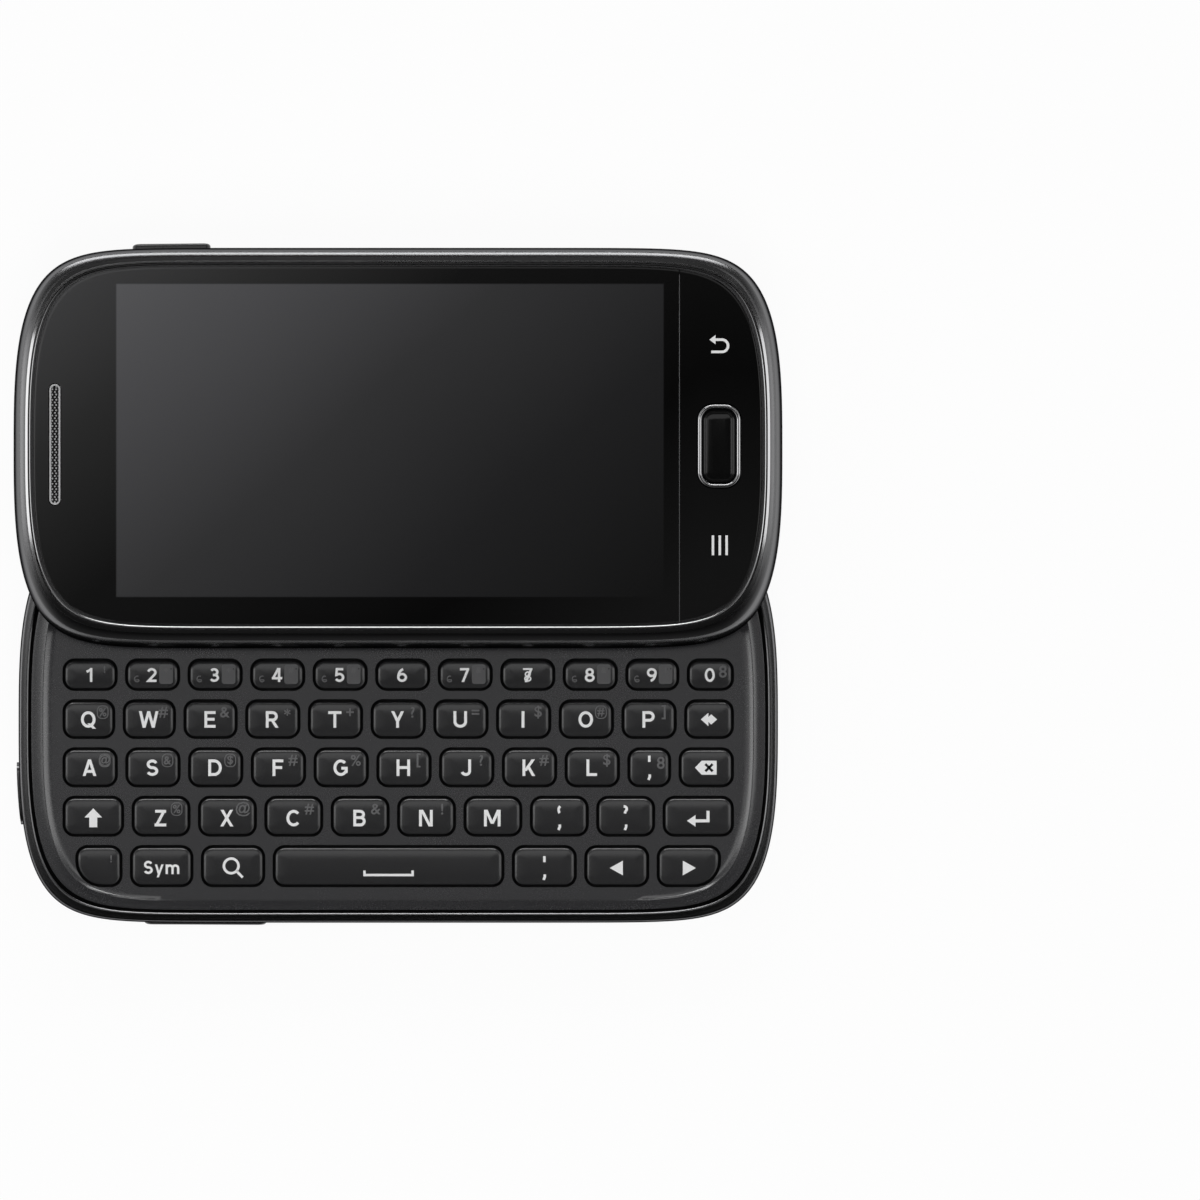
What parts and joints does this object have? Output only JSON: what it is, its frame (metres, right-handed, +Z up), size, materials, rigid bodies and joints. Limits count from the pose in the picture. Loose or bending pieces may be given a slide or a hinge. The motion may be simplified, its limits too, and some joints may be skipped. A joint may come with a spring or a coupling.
{
  "type": "slider phone",
  "caption": "Sideways slider phone, open on its back: a touch display half slides off a keyboard half with rows of separate keys, side keys and a removable battery cover.",
  "frame": {"origin": "middle of the flat back of the battery cover, which lies on the table", "axes": "+X along the phone's length, to the home button's end; +Y the way the display half opens; +Z up, out of the screen"},
  "size_m": [0.126, 0.1118, 0.0138],
  "materials": {
    "shell": "dark metallic lacquer, glossy",
    "cover": "fine diagonal weave moulded into dark plastic, satin",
    "cell": "battery cell in a grey wrapper",
    "chrome_trim": "polished",
    "dark_glass": "black-backed, polished",
    "board": "green solder mask",
    "silicone": "moulded silicone",
    "frame": "dark satin lacquer",
    "keycap": "dark semi-gloss with white legends",
    "gloss_button": "glossy",
    "steel_sheet": "stamped sheet",
    "spring_wire": "drawn wire",
    "display_module": "display module, dark",
    "grille_metal": "fine woven mesh in a bright rim"
  },
  "bodies": {
    "keyboard_half": {"rear_housing": "shell", "battery": "cell", "camera_ring": "chrome_trim", "camera_window": "dark_glass", "main_board": "board", "keymat": "silicone", "keypad_frame": "frame", "slide_base": "steel_sheet"},
    "display_half": {"display_housing": "shell", "slide_plate": "steel_sheet", "slide_spring": "spring_wire", "display_panel": "display_module", "front_glass": "dark_glass", "bezel_ring": "chrome_trim", "earpiece_grille": "grille_metal", "home_ring": "chrome_trim"},
    "battery_cover": {"battery_cover": "cover"},
    "volume_rocker": {"volume_rocker": "gloss_button"},
    "camera_key": {"camera_key": "gloss_button"},
    "home_button": {"home_button": "gloss_button"},
    "power_key": {"power_key": "gloss_button"},
    "key_q": {"key_q": "keycap"},
    "key_w": {"key_w": "keycap"},
    "key_e": {"key_e": "keycap"},
    "key_r": {"key_r": "keycap"},
    "key_t": {"key_t": "keycap"},
    "key_y": {"key_y": "keycap"},
    "key_u": {"key_u": "keycap"},
    "key_i": {"key_i": "keycap"},
    "key_o": {"key_o": "keycap"},
    "key_p": {"key_p": "keycap"},
    "key_tab": {"key_tab": "keycap"},
    "key_a": {"key_a": "keycap"},
    "key_s": {"key_s": "keycap"},
    "key_d": {"key_d": "keycap"},
    "key_f": {"key_f": "keycap"},
    "key_g": {"key_g": "keycap"},
    "key_h": {"key_h": "keycap"},
    "key_j": {"key_j": "keycap"},
    "key_k": {"key_k": "keycap"},
    "key_l": {"key_l": "keycap"},
    "key_apostrophe": {"key_apostrophe": "keycap"},
    "key_delete": {"key_delete": "keycap"},
    "key_shift": {"key_shift": "keycap"},
    "key_z": {"key_z": "keycap"},
    "key_x": {"key_x": "keycap"},
    "key_c": {"key_c": "keycap"},
    "key_b": {"key_b": "keycap"},
    "key_n": {"key_n": "keycap"},
    "key_m": {"key_m": "keycap"},
    "key_comma": {"key_comma": "keycap"},
    "key_period": {"key_period": "keycap"},
    "key_enter": {"key_enter": "keycap"},
    "key_corner": {"key_corner": "keycap"},
    "key_sym": {"key_sym": "keycap"},
    "key_search": {"key_search": "keycap"},
    "key_space": {"key_space": "keycap"},
    "key_quote": {"key_quote": "keycap"},
    "key_left": {"key_left": "keycap"},
    "key_right": {"key_right": "keycap"}
  },
  "joints": [
    {"name": "display_slide", "type": "slide", "parent": "keyboard_half", "child": "display_half", "axis": [0, -1, 0], "range_m": [0, 0.045], "deforming": ["slide_spring"]},
    {"name": "battery_cover_lift", "type": "slide", "parent": "keyboard_half", "child": "battery_cover", "axis": [0, 0, -1], "range_m": [0, 0.01]},
    {"name": "home_press", "type": "slide", "parent": "display_half", "child": "home_button", "axis": [0, 0, -1], "range_m": [0, 0.0003], "stiffness_N_per_m": 3000},
    {"name": "power_press", "type": "slide", "parent": "display_half", "child": "power_key", "axis": [0, -1, 0], "range_m": [0, 0.0003], "stiffness_N_per_m": 3000},
    {"name": "camera_press", "type": "slide", "parent": "keyboard_half", "child": "camera_key", "axis": [0, -1, 0], "range_m": [0, 0.0003], "stiffness_N_per_m": 3000},
    {"name": "volume_rock", "type": "hinge", "parent": "keyboard_half", "child": "volume_rocker", "pos_m": [-0.0317, -0.0316, 0.0043], "axis": [0, 0, 1], "range_deg": [-1, 1], "stiffness_Nm_per_rad": 0.5},
    {"name": "key_q_press", "type": "slide", "parent": "keyboard_half", "child": "key_q", "axis": [0, 0, -1], "range_m": [0, 0.0003], "stiffness_N_per_m": 3000},
    {"name": "key_w_press", "type": "slide", "parent": "keyboard_half", "child": "key_w", "axis": [0, 0, -1], "range_m": [0, 0.0003], "stiffness_N_per_m": 3000},
    {"name": "key_e_press", "type": "slide", "parent": "keyboard_half", "child": "key_e", "axis": [0, 0, -1], "range_m": [0, 0.0003], "stiffness_N_per_m": 3000},
    {"name": "key_r_press", "type": "slide", "parent": "keyboard_half", "child": "key_r", "axis": [0, 0, -1], "range_m": [0, 0.0003], "stiffness_N_per_m": 3000},
    {"name": "key_t_press", "type": "slide", "parent": "keyboard_half", "child": "key_t", "axis": [0, 0, -1], "range_m": [0, 0.0003], "stiffness_N_per_m": 3000},
    {"name": "key_y_press", "type": "slide", "parent": "keyboard_half", "child": "key_y", "axis": [0, 0, -1], "range_m": [0, 0.0003], "stiffness_N_per_m": 3000},
    {"name": "key_u_press", "type": "slide", "parent": "keyboard_half", "child": "key_u", "axis": [0, 0, -1], "range_m": [0, 0.0003], "stiffness_N_per_m": 3000},
    {"name": "key_i_press", "type": "slide", "parent": "keyboard_half", "child": "key_i", "axis": [0, 0, -1], "range_m": [0, 0.0003], "stiffness_N_per_m": 3000},
    {"name": "key_o_press", "type": "slide", "parent": "keyboard_half", "child": "key_o", "axis": [0, 0, -1], "range_m": [0, 0.0003], "stiffness_N_per_m": 3000},
    {"name": "key_p_press", "type": "slide", "parent": "keyboard_half", "child": "key_p", "axis": [0, 0, -1], "range_m": [0, 0.0003], "stiffness_N_per_m": 3000},
    {"name": "key_tab_press", "type": "slide", "parent": "keyboard_half", "child": "key_tab", "axis": [0, 0, -1], "range_m": [0, 0.0003], "stiffness_N_per_m": 3000},
    {"name": "key_a_press", "type": "slide", "parent": "keyboard_half", "child": "key_a", "axis": [0, 0, -1], "range_m": [0, 0.0003], "stiffness_N_per_m": 3000},
    {"name": "key_s_press", "type": "slide", "parent": "keyboard_half", "child": "key_s", "axis": [0, 0, -1], "range_m": [0, 0.0003], "stiffness_N_per_m": 3000},
    {"name": "key_d_press", "type": "slide", "parent": "keyboard_half", "child": "key_d", "axis": [0, 0, -1], "range_m": [0, 0.0003], "stiffness_N_per_m": 3000},
    {"name": "key_f_press", "type": "slide", "parent": "keyboard_half", "child": "key_f", "axis": [0, 0, -1], "range_m": [0, 0.0003], "stiffness_N_per_m": 3000},
    {"name": "key_g_press", "type": "slide", "parent": "keyboard_half", "child": "key_g", "axis": [0, 0, -1], "range_m": [0, 0.0003], "stiffness_N_per_m": 3000},
    {"name": "key_h_press", "type": "slide", "parent": "keyboard_half", "child": "key_h", "axis": [0, 0, -1], "range_m": [0, 0.0003], "stiffness_N_per_m": 3000},
    {"name": "key_j_press", "type": "slide", "parent": "keyboard_half", "child": "key_j", "axis": [0, 0, -1], "range_m": [0, 0.0003], "stiffness_N_per_m": 3000},
    {"name": "key_k_press", "type": "slide", "parent": "keyboard_half", "child": "key_k", "axis": [0, 0, -1], "range_m": [0, 0.0003], "stiffness_N_per_m": 3000},
    {"name": "key_l_press", "type": "slide", "parent": "keyboard_half", "child": "key_l", "axis": [0, 0, -1], "range_m": [0, 0.0003], "stiffness_N_per_m": 3000},
    {"name": "key_apostrophe_press", "type": "slide", "parent": "keyboard_half", "child": "key_apostrophe", "axis": [0, 0, -1], "range_m": [0, 0.0003], "stiffness_N_per_m": 3000},
    {"name": "key_delete_press", "type": "slide", "parent": "keyboard_half", "child": "key_delete", "axis": [0, 0, -1], "range_m": [0, 0.0003], "stiffness_N_per_m": 3000},
    {"name": "key_shift_press", "type": "slide", "parent": "keyboard_half", "child": "key_shift", "axis": [0, 0, -1], "range_m": [0, 0.0003], "stiffness_N_per_m": 3000},
    {"name": "key_z_press", "type": "slide", "parent": "keyboard_half", "child": "key_z", "axis": [0, 0, -1], "range_m": [0, 0.0003], "stiffness_N_per_m": 3000},
    {"name": "key_x_press", "type": "slide", "parent": "keyboard_half", "child": "key_x", "axis": [0, 0, -1], "range_m": [0, 0.0003], "stiffness_N_per_m": 3000},
    {"name": "key_c_press", "type": "slide", "parent": "keyboard_half", "child": "key_c", "axis": [0, 0, -1], "range_m": [0, 0.0003], "stiffness_N_per_m": 3000},
    {"name": "key_b_press", "type": "slide", "parent": "keyboard_half", "child": "key_b", "axis": [0, 0, -1], "range_m": [0, 0.0003], "stiffness_N_per_m": 3000},
    {"name": "key_n_press", "type": "slide", "parent": "keyboard_half", "child": "key_n", "axis": [0, 0, -1], "range_m": [0, 0.0003], "stiffness_N_per_m": 3000},
    {"name": "key_m_press", "type": "slide", "parent": "keyboard_half", "child": "key_m", "axis": [0, 0, -1], "range_m": [0, 0.0003], "stiffness_N_per_m": 3000},
    {"name": "key_comma_press", "type": "slide", "parent": "keyboard_half", "child": "key_comma", "axis": [0, 0, -1], "range_m": [0, 0.0003], "stiffness_N_per_m": 3000},
    {"name": "key_period_press", "type": "slide", "parent": "keyboard_half", "child": "key_period", "axis": [0, 0, -1], "range_m": [0, 0.0003], "stiffness_N_per_m": 3000},
    {"name": "key_enter_press", "type": "slide", "parent": "keyboard_half", "child": "key_enter", "axis": [0, 0, -1], "range_m": [0, 0.0003], "stiffness_N_per_m": 3000},
    {"name": "key_corner_press", "type": "slide", "parent": "keyboard_half", "child": "key_corner", "axis": [0, 0, -1], "range_m": [0, 0.0003], "stiffness_N_per_m": 3000},
    {"name": "key_sym_press", "type": "slide", "parent": "keyboard_half", "child": "key_sym", "axis": [0, 0, -1], "range_m": [0, 0.0003], "stiffness_N_per_m": 3000},
    {"name": "key_search_press", "type": "slide", "parent": "keyboard_half", "child": "key_search", "axis": [0, 0, -1], "range_m": [0, 0.0003], "stiffness_N_per_m": 3000},
    {"name": "key_space_press", "type": "slide", "parent": "keyboard_half", "child": "key_space", "axis": [0, 0, -1], "range_m": [0, 0.0003], "stiffness_N_per_m": 3000},
    {"name": "key_quote_press", "type": "slide", "parent": "keyboard_half", "child": "key_quote", "axis": [0, 0, -1], "range_m": [0, 0.0003], "stiffness_N_per_m": 3000},
    {"name": "key_left_press", "type": "slide", "parent": "keyboard_half", "child": "key_left", "axis": [0, 0, -1], "range_m": [0, 0.0003], "stiffness_N_per_m": 3000},
    {"name": "key_right_press", "type": "slide", "parent": "keyboard_half", "child": "key_right", "axis": [0, 0, -1], "range_m": [0, 0.0003], "stiffness_N_per_m": 3000}
  ]
}
